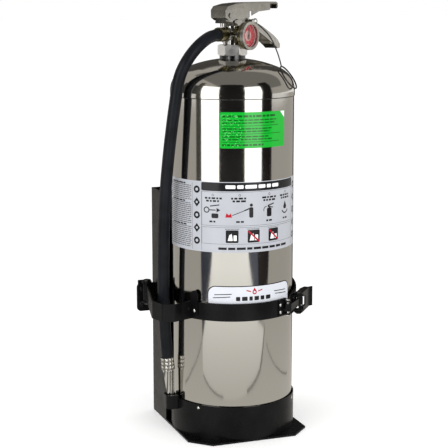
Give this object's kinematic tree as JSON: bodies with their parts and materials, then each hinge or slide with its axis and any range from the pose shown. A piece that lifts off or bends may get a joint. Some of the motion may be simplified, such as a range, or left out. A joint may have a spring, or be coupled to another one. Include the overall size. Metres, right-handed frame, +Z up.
{
  "type": "fire extinguisher in bracket",
  "caption": "Stored-pressure water fire extinguisher with a stainless steel cylinder, squeeze valve, gauge and hose, standing in a black steel bracket with a latched clamp band.",
  "frame": {"origin": "on the cylinder's axis, on the underside of the bracket's base plate", "axes": "+Z up along the cylinder, +Y towards the wall that the bracket's channel bolts to, -Y is the front, +X is to the right seen from the front"},
  "size_m": [0.2497, 0.1927, 0.6233],
  "materials": {
    "stainless": "polished stainless steel with a faint drawn grain",
    "black_steel": "satin black powder coat",
    "bright_rivet": "bright plated rivet heads",
    "dark_steel": "dark blackened steel",
    "rubber": "satin black rubber",
    "lining": "grey-brown rubber lining",
    "nickel": "satin nickel-plated steel",
    "valve_metal": "dull plated valve body",
    "chrome": "polished chrome",
    "brass": "olive dulled brass",
    "spring_steel": "spring wire",
    "white_plastic": "matt off-white plastic",
    "gauge_dial": "printed dial, red ring on white",
    "gauge_needle": "black lacquer",
    "lens": "clear flat lens",
    "label": null,
    "green_label": "printed green film label",
    "badge": "printed white badge"
  },
  "bodies": {
    "bracket": {"base_plate": "black_steel", "base_cup": "black_steel", "cup_rivets": "bright_rivet", "base_pad": "rubber", "back_channel": "black_steel", "cross_plate": "black_steel", "cross_plate_rivets": "black_steel", "hinge_clevis": "black_steel", "clevis_rivets": "black_steel", "hinge_pin": "dark_steel", "clamp_arm": "black_steel", "clamp_arm_rivets": "black_steel", "clamp_arm_lining": "lining", "nozzle_rest": "black_steel", "latch_base": "black_steel", "latch_pivot_pins": "dark_steel"},
    "latch_lever": {"latch_lever": "black_steel", "claw_pin": "dark_steel"},
    "latch_claw": {"latch_claw": "black_steel"},
    "band": {"strap_band": "black_steel", "strap_lining": "lining", "keeper": "black_steel", "keeper_pin": "bright_rivet", "keeper_rivets": "bright_rivet", "strap_tab": "black_steel", "strap_tab_rivet": "bright_rivet"},
    "extinguisher": {"cylinder_shell": "stainless", "top_dome": "stainless", "bottom_head": "stainless", "neck_ring": "dark_steel", "neck_gasket": "rubber", "collar_nut": "chrome", "valve_body": "valve_metal", "dip_tube": "white_plastic", "dip_strainer": "white_plastic", "return_spring": "spring_steel", "fill_valve": "valve_metal", "fill_valve_cap": "chrome", "gauge_case": "brass", "gauge_bezel": "chrome", "gauge_dial": "gauge_dial", "gauge_lens": "lens", "lever_pivot_pin": "nickel", "carry_handle": "nickel", "handle_rivets": "nickel", "hose_coupling": "valve_metal", "top_ferrule": "brass", "hose": "rubber", "low_ferrule": "chrome", "nozzle": "chrome", "instruction_label": "label", "inspection_label": "green_label", "badge_label": "badge"},
    "squeeze_lever": {"operating_lever": "nickel"},
    "stem": {"valve_stem": "valve_metal", "stem_seal": "rubber"},
    "pin": {"pull_pin": "chrome", "pull_pin_tether": "spring_steel", "pull_ring": "chrome"},
    "needle": {"gauge_needle": "gauge_needle"}
  },
  "joints": [
    {"name": "band_hinge", "type": "hinge", "parent": "bracket", "child": "band", "pos_m": [-0.106, 0.084, 0.191], "axis": [0, 0, -1], "range_deg": [0, 80]},
    {"name": "latch_hinge", "type": "hinge", "parent": "bracket", "child": "latch_lever", "pos_m": [0.07959, -0.06218, 0.1915], "axis": [0, 0, -1], "range_deg": [0, 110]},
    {"name": "claw_hinge", "type": "hinge", "parent": "latch_lever", "child": "latch_claw", "pos_m": [0.08619, -0.05211, 0.1915], "axis": [0, 0, 1], "range_deg": [0, 125]},
    {"name": "lift_out", "type": "slide", "parent": "bracket", "child": "extinguisher", "axis": [0, 0, 1], "range_m": [0, 0.075]},
    {"name": "squeeze", "type": "hinge", "parent": "extinguisher", "child": "squeeze_lever", "pos_m": [-0.01866, -0.01166, 0.6045], "axis": [-0.5299, 0.848, 0], "range_deg": [0, 13.5], "stiffness_Nm_per_rad": 3, "springref_deg": -8.59},
    {"name": "stem_slide", "type": "slide", "parent": "extinguisher", "child": "stem", "axis": [0, 0, -1], "range_m": [0, 0.0053], "deforming": ["return_spring"]},
    {"name": "pin_pull", "type": "slide", "parent": "extinguisher", "child": "pin", "axis": [0.5299, -0.848, 0], "range_m": [0, 0.045]},
    {"name": "needle_turn", "type": "hinge", "parent": "extinguisher", "child": "needle", "pos_m": [0.01537, -0.02459, 0.576], "axis": [0.5299, -0.848, 0], "range_deg": [-60, 60], "stiffness_Nm_per_rad": 0.01}
  ],
  "couplings": [
    {"joint": "claw_hinge", "follows": "latch_hinge", "ratio": 1.1},
    {"joint": "stem_slide", "follows": "squeeze", "m_per_rad": 0.022}
  ]
}
